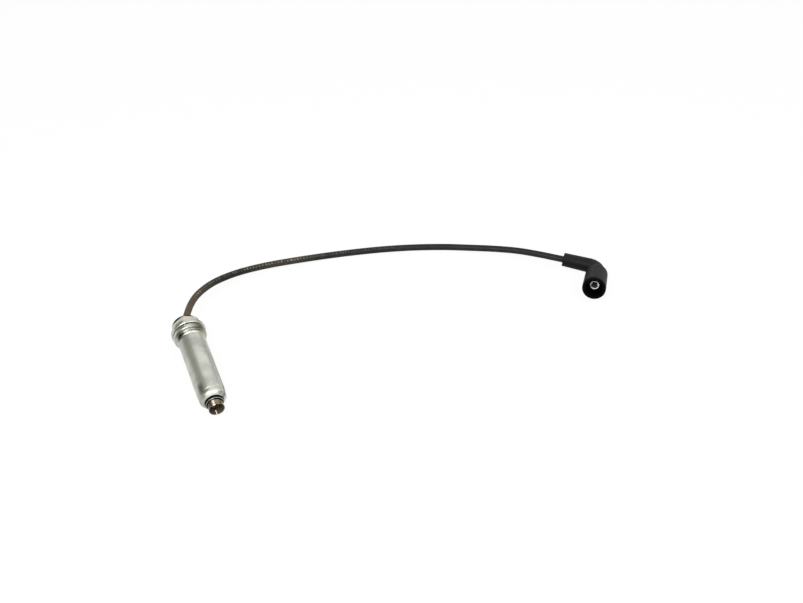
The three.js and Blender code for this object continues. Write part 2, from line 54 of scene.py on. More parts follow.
def turnZ(angle):
    c, s = math.cos(math.radians(angle)), math.sin(math.radians(angle))
    return np.array([[c, -s, 0], [s, c, 0], [0, 0, 1]])


# How each end lies: its own Y axis points out of its mouth.
connectorPose = {"turn": turnZ(22) @ turnX(2.256) @ turnZ(180), "place": np.array([-205.57, -16.87, 17.13])}
bootPose = {"turn": turnZ(-13.8) @ turnX(-13) @ turnY(5) @ turnZ(180), "place": np.array([216.30, 98.71, 7.38])}
upright = {"turn": np.eye(3), "place": np.zeros(3)}

cableRoute = np.array([
    [-198.8, -33.7, 16.4], [-201.1, -27.9, 16.7], [-203.4, -22.2, 16.9], [-205.8, -16.4, 17.2],
    [-208.1, -10.6, 17.4], [-210.5, -4.8, 17.6], [-212.8, 1, 17.9], [-212.5, 5.4, 18.2],
    [-212.2, 10.4, 18.5], [-211.6, 16.9, 18.9],
    [-210.1, 26.9, 19.1], [-206.7, 38.5, 19.1], [-200.5, 50.8, 18.3], [-191.4, 63.6, 16.7], [-177.6, 77.4, 14],
    [-160.2, 90.3, 10.9], [-137.6, 102.7, 7.6], [-111.5, 113.1, 5], [-82.8, 121.5, 3.8], [-51.3, 128.2, 3.6],
    [-17.7, 133.7, 3.6], [16.2, 137.1, 3.6], [50.1, 138.1, 3.6], [79.7, 136.2, 4.1], [107, 131.5, 6.4],
    [132, 124.5, 9.3], [154.9, 116.2, 11], [170, 110.9, 11.2], [179.5, 108.5, 10.6], [188.1, 106.2, 9.9],
    [196.7, 103.9, 9.1],
])

# Camera

view = {"elevation": 42, "distance": 1155, "target": (4.85, 52.01, 0), "lens": 49.315}


def addCamera():
    data = bpy.data.cameras.new("camera")
    data.lens = view["lens"]
    data.sensor_width = 36
    data.clip_end = 20
    camera = bpy.data.objects.new("camera", data)
    bpy.context.scene.collection.objects.link(camera)
    rise = math.radians(view["elevation"])
    x, y, z = view["target"]
    camera.location = (
        x * mm,
        (y - view["distance"] * math.cos(rise)) * mm,
        (z + view["distance"] * math.sin(rise)) * mm,
    )
    camera.rotation_euler = (math.radians(90) - rise, 0, 0)
    bpy.context.scene.camera = camera


addCamera()
print("camera set")

# Surfaces


def placed(grid, pose):
    return (grid @ pose["turn"].T + pose["place"]) * mm


# A quad for each cell of the grid, turned so that the closed surface holds a positive volume.
def cellsOf(grid):
    rows, cols = grid.shape[:2]
    index = np.arange(rows * cols).reshape(rows, cols)
    quads = np.stack([index[:-1, :-1], index[1:, :-1], index[1:, 1:], index[:-1, 1:]], -1).reshape(-1, 4)
    a, b, c, d = (grid.reshape(-1, 3)[quads[:, i]] for i in range(4))
    volume = np.sum(a * np.cross(b, c)) + np.sum(a * np.cross(c, d))
    return quads if volume > 0 else quads[:, ::-1]


meshing = {"weld": 2e-7, "sharpAngle": 32}  # metres and degrees


# One mesh from several grids: corners closer than the weld become one, and cells without area are left out.
def addMesh(name, grids, uvs=None):
    flat = np.concatenate([g.reshape(-1, 3) for g in grids])
    starts = np.cumsum([0] + [g.shape[0] * g.shape[1] for g in grids[:-1]])
    centred = [g - g.reshape(-1, 3).mean(0) for g in grids]
    quads = np.concatenate([cellsOf(g) + start for g, start in zip(centred, starts)])
    owner = np.concatenate([np.full(g.shape[0] * g.shape[1], i) for i, g in enumerate(grids)])
    keys = np.column_stack([np.round(flat / meshing["weld"]).astype(np.int64), owner])
    _, first, weld = np.unique(keys, axis=0, return_index=True, return_inverse=True)
    corners = weld.reshape(-1)[quads]
    keep = corners != np.roll(corners, 1, axis=1)
    whole = keep.sum(1) >= 3
    corners, keep, quads = corners[whole], keep[whole], quads[whole]
    sizes = keep.sum(1)
    mesh = bpy.data.meshes.new(name)
    mesh.vertices.add(len(first))
    mesh.vertices.foreach_set("co", flat[first].astype(np.float32).ravel())
    mesh.loops.add(int(sizes.sum()))
    mesh.loops.foreach_set("vertex_index", corners[keep].astype(np.int32))
    mesh.polygons.add(len(sizes))
    mesh.polygons.foreach_set("loop_start", (np.cumsum(sizes) - sizes).astype(np.int32))
    mesh.polygons.foreach_set("use_smooth", np.ones(len(sizes), bool))
    if uvs is not None:
        layer = mesh.uv_layers.new(name="along")
        layer.data.foreach_set("uv", uvs.reshape(-1, 2)[quads[keep]].astype(np.float32).ravel())
    mesh.update(calc_edges=True)
    mesh.set_sharp_from_angle(angle=math.radians(meshing["sharpAngle"]))
    obj = bpy.data.objects.new(name, mesh)
    bpy.context.scene.collection.objects.link(obj)
    return obj


# A piece in an end's place, which stands for one of the solids.
def addPiece(name, grids, pose, material, solid, uvs=None):
    obj = addMesh(name, [placed(grid, pose) for grid in grids], uvs)
    obj.data.materials.append(material)
    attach(obj, "root")
    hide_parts(solid)
    return obj


# Points (radius, y) on an arc about a centre, from one angle to another.
def arc(radius, y, bend, start, stop, count=10):
    angle = np.radians(np.linspace(start, stop, count))
    return np.column_stack([radius + bend * np.cos(angle), y + bend * np.sin(angle)])


# A profile with each inner corner rounded by the radius beside it: two tangent points joined by a parabola.
def rounded(corners, count=7):
    points = [np.array(c[:2], float) for c in corners]
    parts = [points[0][None]]
    for i in range(1, len(corners) - 1):
        here, bend = points[i], corners[i][2] if len(corners[i]) > 2 else 0
        if bend == 0:
            parts.append(here[None])
            continue
        before, after = points[i - 1] - here, points[i + 1] - here
        a = here + before / np.linalg.norm(before) * min(bend, np.linalg.norm(before) * 0.49)
        b = here + after / np.linalg.norm(after) * min(bend, np.linalg.norm(after) * 0.49)
        t = np.linspace(0, 1, count)[:, None]
        parts.append(a * (1 - t) ** 2 + here * 2 * t * (1 - t) + b * t ** 2)
    parts.append(points[-1][None])
    return np.vstack(parts)


# Splits the long steps of a profile, so that shading and bumps have enough faces.
def fine(profile, step):
    lengths = np.linalg.norm(np.diff(profile, axis=0), axis=1)
    at = np.concatenate([[0], np.cumsum(lengths)])
    extra = np.concatenate([
        np.linspace(a, b, max(2, int((b - a) / step) + 1)) for a, b in zip(at[:-1], at[1:])])
    wanted = np.unique(np.round(extra, 6))
    return np.column_stack([np.interp(wanted, at, profile[:, 0]), np.interp(wanted, at, profile[:, 1])])


# Turned surface: at angle a, a profile point (r, y) lies at (r cos a, y, r sin a).
def turned(profile, sides=96):
    angle = np.linspace(0, 2 * np.pi, sides + 1)
    r, y = profile[:, :1], profile[:, 1:2]
    grid = np.stack([r * np.cos(angle), y + 0 * angle, r * np.sin(angle)], -1)
    grid[:, -1] = grid[:, 0]
    return grid


# Turned surface that stops short of a full turn, with its two cut faces closed by folding the profile flat.
def partTurned(profile, start, stop, sides=90):
    angle = np.radians(np.linspace(start, stop, sides + 1))
    loop = np.vstack([profile, profile[:1]])
    r, y = loop[:, :1], loop[:, 1:2]
    grid = np.stack([r * np.cos(angle), y + 0 * angle, r * np.sin(angle)], -1)
    first, last = grid[:, 0].mean(0), grid[:, -1].mean(0)
    ends = [np.broadcast_to(p, grid[:, :1].shape) for p in (first, last)]
    return np.concatenate([ends[0], grid, ends[1]], 1)


# Round wire along a path: each ring lies across the path's tangent, in the plane of its side and its rise.
def wire(path, radius, sides=16, rise=(0, 1, 0)):
    radius = np.broadcast_to(np.asarray(radius, float), len(path))
    tangent = np.gradient(path, axis=0)
    tangent /= np.linalg.norm(tangent, axis=1)[:, None]
    side = np.cross(tangent, np.broadcast_to(np.array(rise, float), tangent.shape))
    side /= np.linalg.norm(side, axis=1)[:, None]
    up = np.cross(side, tangent)
    angle = np.linspace(0, 2 * np.pi, sides + 1)
    ring = np.cos(angle)[None, :, None] * side[:, None] + np.sin(angle)[None, :, None] * up[:, None]
    grid = path[:, None] + radius[:, None, None] * ring
    grid[:, -1] = grid[:, 0]
    caps = [np.broadcast_to(path[i], grid[:1].shape) for i in (0, -1)]
    return np.concatenate([caps[0], grid, caps[1]])


# A smooth curve through points: each stretch is a cubic, whose slope at a point is half the step between the
# two points beside it.
def smoothPath(points, perStretch=16):
    ends = np.vstack([2 * points[0] - points[1], points, 2 * points[-1] - points[-2]])
    a, b, c, d = ends[:-3, None], ends[1:-2, None], ends[2:-1, None], ends[3:, None]
    t = np.linspace(0, 1, perStretch, endpoint=False)[None, :, None]
    square, cube = 2 * a - 5 * b + 4 * c - d, 3 * b - a - 3 * c + d
    curve = 0.5 * (2 * b + (c - a) * t + square * t ** 2 + cube * t ** 3)
    return np.vstack([curve.reshape(-1, 3), points[-1]])


# Points at even spacing along a path.
def evenly(path, step):
    at = np.concatenate([[0], np.cumsum(np.linalg.norm(np.diff(path, axis=0), axis=1))])
    wanted = np.linspace(0, at[-1], int(at[-1] / step) + 1)
    return np.column_stack([np.interp(wanted, at, path[:, i]) for i in range(3)]), wanted


# Shader groups


def addGroup(name, inputs, outputs):
    group = bpy.data.node_groups.new(name, "ShaderNodeTree")
    for label, kind, value in inputs:
        socket = group.interface.new_socket(name=label, in_out="INPUT", socket_type=kind)
        if value is not None:
            socket.default_value = value
    for label, kind in outputs:
        group.interface.new_socket(name=label, in_out="OUTPUT", socket_type=kind)
    start = group.nodes.new("NodeGroupInput")
    end = group.nodes.new("NodeGroupOutput")
    return group, start, end


def link(tree, source, target):
    tree.links.new(source, target)


def newMaterial(name):
    material = bpy.data.materials.new(name)
    material.use_nodes = True
    tree = material.node_tree
    return material, tree, tree.nodes["Principled BSDF"]


def mathNode(tree, operation, a, b=None):
    node = tree.nodes.new("ShaderNodeMath")
    node.operation = operation
    for i, value in enumerate((a, b)):
        if value is None:
            continue
        if isinstance(value, (int, float)):
            node.inputs[i].default_value = value
        else:
            link(tree, value, node.inputs[i])
    return node.outputs[0]


def product(tree, first, *others):
    for other in others:
        first = mathNode(tree, "MULTIPLY", first, other)
    return first


# Reads a value from one span into another, held at both ends.
def remap(tree, value, low, high, newLow, newHigh):
    node = tree.nodes.new("ShaderNodeMapRange")
    for i, source in enumerate((value, low, high, newLow, newHigh)):
        if isinstance(source, (int, float)):
            node.inputs[i].default_value = source
        else:
            link(tree, source, node.inputs[i])
    return node.outputs[0]


# Colour a where the factor is 0, and colour b where it is 1.
def mixColours(tree, factor, a, b):
    node = tree.nodes.new("ShaderNodeMix")
    node.data_type = "RGBA"
    link(tree, factor, node.inputs["Factor"])
    for tintInput, value in ((node.inputs[6], a), (node.inputs[7], b)):
        if isinstance(value, tuple):
            tintInput.default_value = value
        else:
            link(tree, value, tintInput)
    return node.outputs[2]


def noise(tree, vector, scale, detail=3.0, roughness=0.55):
    node = tree.nodes.new("ShaderNodeTexNoise")
    link(tree, vector, node.inputs["Vector"])
    if isinstance(scale, (int, float)):
        node.inputs["Scale"].default_value = scale
    else:
        link(tree, scale, node.inputs["Scale"])
    node.inputs["Detail"].default_value = detail
    node.inputs["Roughness"].default_value = roughness
    return node.outputs["Fac"]


# Uneven handling: patches that are a little darker and rougher.
def makePatches():
    group, start, end = addGroup(
        "patches",
        [("Vector", "NodeSocketVector", None), ("Scale", "NodeSocketFloat", 60.0),
         ("Clean", "NodeSocketColor", (0.5, 0.5, 0.5, 1)), ("Handled", "NodeSocketColor", (0.4, 0.4, 0.4, 1)),
         ("Smooth", "NodeSocketFloat", 0.3), ("Rough", "NodeSocketFloat", 0.45)],
        [("Color", "NodeSocketColor"), ("Roughness", "NodeSocketFloat"), ("Mask", "NodeSocketFloat")])
    field = noise(group, start.outputs["Vector"], start.outputs["Scale"], 4.0)
    mask = remap(group, field, 0.38, 0.66, 0.0, 1.0)
    tint = mixColours(group, mask, start.outputs["Clean"], start.outputs["Handled"])
    roughness = remap(group, mask, 0.0, 1.0, start.outputs["Smooth"], start.outputs["Rough"])
    link(group, tint, end.inputs["Color"])
    link(group, roughness, end.inputs["Roughness"])
    link(group, mask, end.inputs["Mask"])
    return group


# Fine grain as a height, from a quick and a slow noise.
def makeGrain():
    group, start, end = addGroup(
        "grain",
        [("Vector", "NodeSocketVector", None), ("Scale", "NodeSocketFloat", 1500.0),
         ("Waves", "NodeSocketFloat", 0.3)],
        [("Height", "NodeSocketFloat")])
    quick = noise(group, start.outputs["Vector"], start.outputs["Scale"], 2.0)
    slow = noise(group, start.outputs["Vector"], mathNode(group, "MULTIPLY", start.outputs["Scale"], 0.06), 2.0)
    height = mathNode(group, "ADD", quick, mathNode(group, "MULTIPLY", slow, start.outputs["Waves"]))
    link(group, height, end.inputs["Height"])
    return group


# Settled dust: a mask that is strongest in patches.
def makeDust():
    group, start, end = addGroup(
        "dust",
        [("Vector", "NodeSocketVector", None), ("Scale", "NodeSocketFloat", 250.0),
         ("Amount", "NodeSocketFloat", 0.2)],
        [("Mask", "NodeSocketFloat")])
    field = noise(group, start.outputs["Vector"], start.outputs["Scale"], 6.0, 0.7)
    mask = remap(group, field, 0.45, 0.8, 0.0, 1.0)
    link(group, mathNode(group, "MULTIPLY", mask, start.outputs["Amount"]), end.inputs["Mask"])
    return group


groups = {"patches": makePatches(), "grain": makeGrain(), "dust": makeDust()}


def placeGroup(tree, kind, vector, **values):
    node = tree.nodes.new("ShaderNodeGroup")
    node.node_tree = groups[kind]
    link(tree, vector, node.inputs["Vector"])
    for label, value in values.items():
        node.inputs[label].default_value = value
    return node


def addGrain(tree, vector, scale, strength):
    grain = placeGroup(tree, "grain", vector, Scale=scale)
    bump = tree.nodes.new("ShaderNodeBump")
    bump.inputs["Strength"].default_value = strength
    bump.inputs["Distance"].default_value = grainDepth
    link(tree, grain.outputs["Height"], bump.inputs["Height"])
    link(tree, bump.outputs["Normal"], tree.nodes["Principled BSDF"].inputs["Normal"])


def colour(r, g, b):
    return (r, g, b, 1)


grainDepth = 0.00005  # metres
dustTint = colour(0.30, 0.28, 0.25)


# A material whose patches, grain and dust come from the groups. With a pose, its vector is in that end's axes.
def addMaterial(name, look, pose=None):
    material, tree, shader = newMaterial(name)
    shader.inputs["Metallic"].default_value = look.get("metallic", 0)
    shader.inputs["Specular IOR Level"].default_value = look.get("specular", 0.5)
    vector = tree.nodes.new("ShaderNodeTexCoord").outputs["Object"]
    if pose is not None:
        mapping = tree.nodes.new("ShaderNodeMapping")
        mapping.inputs["Rotation"].default_value = Matrix(pose["turn"].T.tolist()).to_euler("XYZ")
        mapping.inputs["Location"].default_value = -(pose["turn"].T @ pose["place"]) * mm
        link(tree, vector, mapping.inputs["Vector"])
        vector = mapping.outputs["Vector"]
    patches = placeGroup(tree, "patches", vector, Scale=look.get("patchScale", 60.0),
                         Clean=colour(*look["clean"]), Handled=colour(*look["handled"]),
                         Smooth=look["smooth"], Rough=look["rough"])
    tint = patches.outputs["Color"]
    if look.get("dust", 0) > 0:
        dust = placeGroup(tree, "dust", vector, Amount=look["dust"])
        tint = mixColours(tree, dust.outputs["Mask"], tint, dustTint)
    link(tree, tint, shader.inputs["Base Color"])
    link(tree, patches.outputs["Roughness"], shader.inputs["Roughness"])
    if look.get("grain", 0) > 0:
        addGrain(tree, vector, look.get("grainScale", 1500.0), look["grain"])
    return material


# The point in the end's own axes.
def endVector(material):
    return next(n for n in material.node_tree.nodes if n.type == "MAPPING").outputs["Vector"]


# A mask that rises from 0 to 1 between two places along one axis of an end, or two distances from the Y axis.
def endMask(material, kind, low, high):
    tree = material.node_tree
    split = tree.nodes.new("ShaderNodeSeparateXYZ")
    link(tree, endVector(material), split.inputs[0])
    if kind in "xyz":
        return remap(tree, split.outputs["xyz".index(kind)], low * mm, high * mm, 0.0, 1.0)
    squares = [product(tree, split.outputs[i], split.outputs[i]) for i in (0, 2)]
    radius = mathNode(tree, "SQRT", mathNode(tree, "ADD", *squares))
    return remap(tree, radius, low * mm, high * mm, 0.0, 1.0)


def vectorNode(tree, operation, a, b=None):
    node = tree.nodes.new("ShaderNodeVectorMath")
    node.operation = operation
    link(tree, a, node.inputs[0])
    if b is not None:
        node.inputs[1].default_value = b
    return node


# A mask of 1 within some degrees of one side of an end, by the cosine of the angle from that side.
def sideMask(material, degrees, within, soft):
    tree = material.node_tree
    side = math.radians(degrees)
    flat = vectorNode(tree, "MULTIPLY", endVector(material), (1, 0, 1)).outputs[0]
    unit = vectorNode(tree, "NORMALIZE", flat).outputs[0]
    near = vectorNode(tree, "DOT_PRODUCT", unit, (math.cos(side), 0, math.sin(side))).outputs["Value"]
    edges = [math.cos(math.radians(within + way * soft)) for way in (1, -1)]
    return remap(tree, near, *edges, 0.0, 1.0)


# Where the mask is 1, the base colour is the given one instead.
def tintWhere(material, mask, tint):
    tree = material.node_tree
    base = tree.nodes["Principled BSDF"].inputs["Base Color"]
    link(tree, mixColours(tree, mask, base.links[0].from_socket, tint), base)


# A shader input goes from the first level to the second where the mask is 1. By default the second is what
# feeds it already.
def blendInput(material, label, mask, first, second=None):
    tree = material.node_tree
    shaderInput = tree.nodes["Principled BSDF"].inputs[label]
    if second is None:
        second = shaderInput.links[0].from_socket
    link(tree, remap(tree, mask, 0.0, 1.0, first, second), shaderInput)


# A mark's mask is the product of what it names: a side in degrees with its half width and softness, the
# stretch of y where it rises, the stretch where it falls, and a share.
def markMask(material, mark):
    tree = material.node_tree
    parts = []
    if "side" in mark:
        parts.append(sideMask(material, *mark["side"]))
    if "rise" in mark:
        parts.append(endMask(material, "y", *mark["rise"]))
    if "fall" in mark:
        parts.append(mathNode(tree, "SUBTRACT", 1.0, endMask(material, "y", *mark["fall"])))
    return product(tree, *parts, mark.get("share", 1.0))


def addMarks(material, marks):
    for mark in marks:
        tintWhere(material, markMask(material, mark), colour(*mark["tint"]))


looks = {
    "zinc": {"metallic": 1, "clean": (0.66, 0.67, 0.605), "handled": (0.47, 0.48, 0.425),
             "smooth": 0.34, "rough": 0.44, "patchScale": 62, "grain": 0.10},
    "brightZinc": {"metallic": 1, "clean": (0.60, 0.60, 0.54), "handled": (0.52, 0.52, 0.45),
                   "smooth": 0.22, "rough": 0.32, "patchScale": 90, "grain": 0.04},
    "bronze": {"metallic": 1, "clean": (0.30, 0.235, 0.185), "handled": (0.20, 0.155, 0.12),
               "smooth": 0.14, "rough": 0.24, "patchScale": 160, "grain": 0.03},
    "brass": {"metallic": 1, "clean": (0.46, 0.38, 0.26), "handled": (0.34, 0.28, 0.19),
              "smooth": 0.24, "rough": 0.36, "patchScale": 200},
    "tin": {"metallic": 1, "clean": (0.88, 0.88, 0.86), "handled": (0.72, 0.73, 0.72),
            "smooth": 0.16, "rough": 0.26, "patchScale": 260},
    "whiteTin": {"metallic": 0.1, "clean": (0.95, 0.95, 0.95), "handled": (0.86, 0.88, 0.87),
                 "smooth": 0.3, "rough": 0.42, "patchScale": 420},
    # near white and barely metallic: painted light, so that the leaves show lit inside the shaded hood
    "leaf": {"metallic": 0.1, "clean": (0.95, 0.97, 0.97), "handled": (0.50, 0.53, 0.52),
             "smooth": 0.3, "rough": 0.4, "patchScale": 260},
    "ringWire": {"metallic": 1, "clean": (0.62, 0.60, 0.55), "handled": (0.42, 0.40, 0.35),
                 "smooth": 0.3, "rough": 0.42, "patchScale": 120},
    "steelWire": {"metallic": 1, "clean": (0.70, 0.68, 0.64), "handled": (0.55, 0.54, 0.50),
                  "smooth": 0.18, "rough": 0.3, "patchScale": 300},
    "phenolic": {"clean": (0.045, 0.03, 0.024), "handled": (0.065, 0.045, 0.035),
                 "smooth": 0.35, "rough": 0.5, "patchScale": 200},
    "ceramic": {"clean": (0.62, 0.58, 0.48), "handled": (0.5, 0.46, 0.38), "smooth": 0.5, "rough": 0.6},
    "rubber": {"clean": (0.012, 0.012, 0.0125), "handled": (0.020, 0.019, 0.019), "specular": 0.13,
               "smooth": 0.46, "rough": 0.6, "patchScale": 45, "grain": 0.25, "grainScale": 2200, "dust": 0.03},
    "sealRubber": {"clean": (0.004, 0.004, 0.0035), "handled": (0.008, 0.007, 0.006),
                   "specular": 0.05, "smooth": 0.5, "rough": 0.65, "patchScale": 120, "grain": 0.2,
                   "grainScale": 2200},
    "core": {"clean": (0.02, 0.02, 0.02), "handled": (0.03, 0.03, 0.03), "smooth": 0.7, "rough": 0.85},
}

# Cable

cable = {
    "diameter": 7.0,
    "exit": (-212.79, 1.01, 17.89),  # where it leaves the grommet
    "hiddenInConnector": 22.0,  # length of the drawn cable inside the connector
    "step": 0.8,
    "nearTint": (0.088, 0.068, 0.041),  # by the plug connector
    "farTint": (0.0115, 0.0140, 0.0150),  # from the middle to the elbow
    "fade": (0.015, 0.075),  # metres from the exit over which the tint changes
    "brownAgain": {"rise": (0.105, 0.135), "fall": (0.165, 0.19), "share": 0.3},
    "dash": {"tint": (0.30, 0.27, 0.15), "pitch": 0.0036, "rise": (0.03, 0.04), "fall": (0.17, 0.29),
             "around": 0.18, "half": 0.052, "uneven": 90.0, "wear": 420.0, "bunches": 14.0, "strength": 0.75},
    "dust": 0.10, "dustScale": 180.0, "dustTint": (0.22, 0.20, 0.16),
    "specular": 0.14, "smooth": 0.36, "rough": 0.5, "patchScale": 70.0, "grain": 0.15, "grainScale": 1200.0,
}


# A row of plain dashes: 1 where the fraction of length over pitch is below an uneven share, near the row's
# middle round the cable. A quick noise wears the row and a slow one bunches it.
def dashMask(tree, along, around, vector):
    dash = cable["dash"]
    phase = mathNode(tree, "FRACT", mathNode(tree, "DIVIDE", along, dash["pitch"]))
    share = remap(tree, noise(tree, vector, dash["uneven"], 2.0), 0.3, 0.7, 0.2, 0.9)
    offRow = mathNode(tree, "ABSOLUTE", mathNode(tree, "SUBTRACT", around, dash["around"]))
    return product(
        tree,
        mathNode(tree, "LESS_THAN", phase, share),
        mathNode(tree, "LESS_THAN", offRow, dash["half"]),
        remap(tree, along, *dash["rise"], 0.0, 1.0),
        remap(tree, along, *dash["fall"], 1.0, 0.0),
        remap(tree, noise(tree, vector, dash["wear"], 4.0), 0.35, 0.62, 0.0, 1.0),
        remap(tree, noise(tree, vector, dash["bunches"], 1.0), 0.40, 0.50, 0.35, 1.0),
        dash["strength"])


# The base colour goes from the near tint to the far one along the cable's own length, and back a little once.
def addCableMaterial():
    material, tree, shader = newMaterial("silicone")
    uv = tree.nodes.new("ShaderNodeUVMap")
    uv.uv_map = "along"
    split = tree.nodes.new("ShaderNodeSeparateXYZ")
    link(tree, uv.outputs["UV"], split.inputs[0])
    along, around = split.outputs[0], split.outputs[1]
    vector = tree.nodes.new("ShaderNodeTexCoord").outputs["Object"]
    again = cable["brownAgain"]
    back = product(tree, remap(tree, along, *again["rise"], 0.0, again["share"]),
                   remap(tree, along, *again["fall"], 1.0, 0.0))
    far = mathNode(tree, "SUBTRACT", remap(tree, along, *cable["fade"], 0.0, 1.0), back)
    tint = mixColours(tree, far, colour(*cable["nearTint"]), colour(*cable["farTint"]))
    tint = mixColours(tree, dashMask(tree, along, around, vector), tint, colour(*cable["dash"]["tint"]))
    dust = placeGroup(tree, "dust", vector, Scale=cable["dustScale"], Amount=cable["dust"])
    tint = mixColours(tree, dust.outputs["Mask"], tint, colour(*cable["dustTint"]))
    link(tree, tint, shader.inputs["Base Color"])
    shader.inputs["Specular IOR Level"].default_value = cable["specular"]
    patches = placeGroup(tree, "patches", vector, Scale=cable["patchScale"], Smooth=cable["smooth"],
                         Rough=cable["rough"])
    link(tree, patches.outputs["Roughness"], shader.inputs["Roughness"])
    addGrain(tree, vector, cable["grainScale"], cable["grain"])
    return material


# A round wire along the route, from inside the connector on, mapped by metres past the exit and by turn.
def addCable():
    path, at = evenly(smoothPath(cableRoute), cable["step"])
    exitAt = at[np.argmin(np.linalg.norm(path - np.array(cable["exit"]), axis=1))]
    shown = at > exitAt - cable["hiddenInConnector"]
    path, at = path[shown], at[shown] - exitAt
    grid = wire(path, cable["diameter"] / 2, 40, rise=(0, 0, 1))
    along = np.concatenate([at[:1], at, at[-1:]]) * mm
    around = np.linspace(0, 1, grid.shape[1])
    uvs = np.stack(np.broadcast_arrays(along[:, None], around[None]), -1)
    obj = addPiece("cable", [grid], upright, addCableMaterial(), "ignition_cable", uvs)
    length = np.linalg.norm(np.diff(path, axis=0), axis=1).sum() * mm
    return length


print("cable drawn, metres:", round(addCable(), 4))

# Shield sleeve

sleeve = {
    "radius": 13.5, "wall": 0.8, "length": 93.4, "rimRadius": 16.5, "rimThickness": 4.6, "rimFace": -0.2,
    "neckRadius": 14.3, "neckY": 8.8, "neckBead": 1.6, "grooveRadius": 13.15, "tubeStart": 10.9,
    "shoulderStart": 81.5, "creaseY": 85.4, "creaseDepth": 0.35, "creaseRadius": 13.12, "mouthRadius": 9.3,
    "dent": 0.12, "dentsAt": 87.5, "dentsReach": 4.5,  # unevenness left by drawing the shoulder
    "pressed": 0.6, "pressedSide": 54, "pressedAt": 83, "pressedWidth": 18, "pressedReach": 4.6,  # deeper dent
    "rolled": (9.8, 11.8), "rolledRoughness": 0.3,
    "marks": [  # painted shade and reflections, and a little rust
        {"rise": (4.2, 5.6), "fall": (7.4, 8.8), "share": 0.6, "tint": (0.20, 0.20, 0.15)},  # painted shade in the groove
        {"side": (40, 12, 14), "rise": (3.6, 5.2), "fall": (9.5, 12.5), "tint": (0.05, 0.05, 0.03)},  # painted dark reflection on the neck's left side
        {"side": (132, 22, 16), "rise": (-0.2, 1.5), "fall": (4.6, 6.5), "tint": (0.17, 0.17, 0.12)},  # painted shade on the rim's right side
        {"side": (150, 10, 12), "rise": (5, 7), "fall": (9, 11), "share": 0.6, "tint": (0.62, 0.42, 0.28)},
        {"side": (158, 7, 8), "rise": (28, 78), "share": 0.8, "tint": (0.16, 0.16, 0.13)},  # painted reflection of the floor's shadow along one edge
        {"side": (49, 10, 7), "rise": (74, 79), "fall": (87, 89.5), "share": 0.75, "tint": (0.12, 0.12, 0.09)},
    ],  # the fourth is a little rust, and the last is painted shade in the deeper dent
}


# The sleeve's radius at angle a and place y is its profile's radius plus small dents,
# a sum of slow sines of a and y that fades out away from the shoulder, less one bell-shaped dent.
def sleeveGrid():
    s = sleeve
    half, bead, tube = s["rimThickness"] / 2, s["neckBead"], s["radius"]
    bore, groove, crease, end = tube - s["wall"], s["grooveRadius"], s["creaseRadius"], s["length"]
    outer = np.vstack([
        [[bore, 0]],
        rounded([[14.0, s["rimFace"]], [s["rimRadius"] - 0.1, s["rimFace"], 1.3], [s["rimRadius"], half, 0.8],
                 [s["rimRadius"] - 0.2, s["rimThickness"], 1.9], [14.6, s["rimThickness"] + 0.1, 0.3],
                 [groove + 0.15, 5.3, 0.8], [groove, 6.6, 0.6], [groove + 0.15, 7.4]], 8),
        arc(s["neckRadius"] - bead, s["neckY"], bead, -52, 62, 18),
        rounded([[tube + 0.12, s["tubeStart"] - 0.5], [tube, s["tubeStart"], 0.4],
                 [tube, s["tubeStart"] + 1.1]], 5),
        rounded([
            [tube, s["shoulderStart"] - 1], [tube, s["shoulderStart"], 1], [crease, s["creaseY"] - 0.6, 0.8],
            [crease - s["creaseDepth"], s["creaseY"], 0.4], [crease - 0.07, s["creaseY"] + 0.8, 0.7],
            [12.85, end - 3.1, 3.4], [9.9, end - 0.25, 1.6], [s["mouthRadius"], end, 0.2],
            [s["mouthRadius"], end - 0.7],
        ], 9),
        rounded([[9.5, end - 0.9], [12.0, end - 3.2, 2], [12.4, 85.5, 1.5], [bore, 80.5, 1], [bore, 60]], 5),
        [[bore, 0]],
    ])
    grid = turned(fine(outer, 1.2), 144)
    x, y, z = grid[..., 0], grid[..., 1], grid[..., 2]
    angle = np.arctan2(z, x)
    near = np.exp(-((y - s["dentsAt"]) / s["dentsReach"]) ** 2)
    dents = s["dent"] * near * (np.sin(3 * angle + 0.6 * y) + 0.7 * np.sin(5 * angle - 0.9 * y + 1.3))
    away = (np.degrees(angle) - s["pressedSide"] + 180) % 360 - 180
    bell = np.exp(-(away / s["pressedWidth"]) ** 2 - ((y - s["pressedAt"]) / s["pressedReach"]) ** 2)
    scale = 1 + (dents - s["pressed"] * bell) / np.maximum(np.hypot(x, z), 1)
    grid[..., 0] *= scale
    grid[..., 2] *= scale
    return grid


# Bright where the rim and the neck were rolled, satin along the tube.
def addSleeveMaterial():
    material = addMaterial("zincSleeve", looks["zinc"], connectorPose)
    blendInput(material, "Roughness", endMask(material, "y", *sleeve["rolled"]), sleeve["rolledRoughness"])
    addMarks(material, sleeve["marks"])
    return material


addPiece("shieldSleeve", [sleeveGrid()], connectorPose, addSleeveMaterial(), "shield_sleeve")
print("shield sleeve drawn")

# Hexagonal cap

cap = {
    "front": -1.15, "rimBack": -6.4, "back": -13.6, "rimRadius": 17.3, "acrossFlats": 27.2, "turn": 6,
    "opening": 9, "wall": 0.9, "cornerCut": 0.75, "cornerHold": 2.2, "skirtRadius": 12.6, "innerRadius": 12.2,
    "drum": (-7.4, -6.4), "flatRoughness": 0.5, "flatMetallic": 0.4,
    "stainedFlat": {"side": (92, 18, 14), "fall": (-7.4, -7.1), "share": 0.3, "tint": (0.56, 0.48, 0.37)},
}


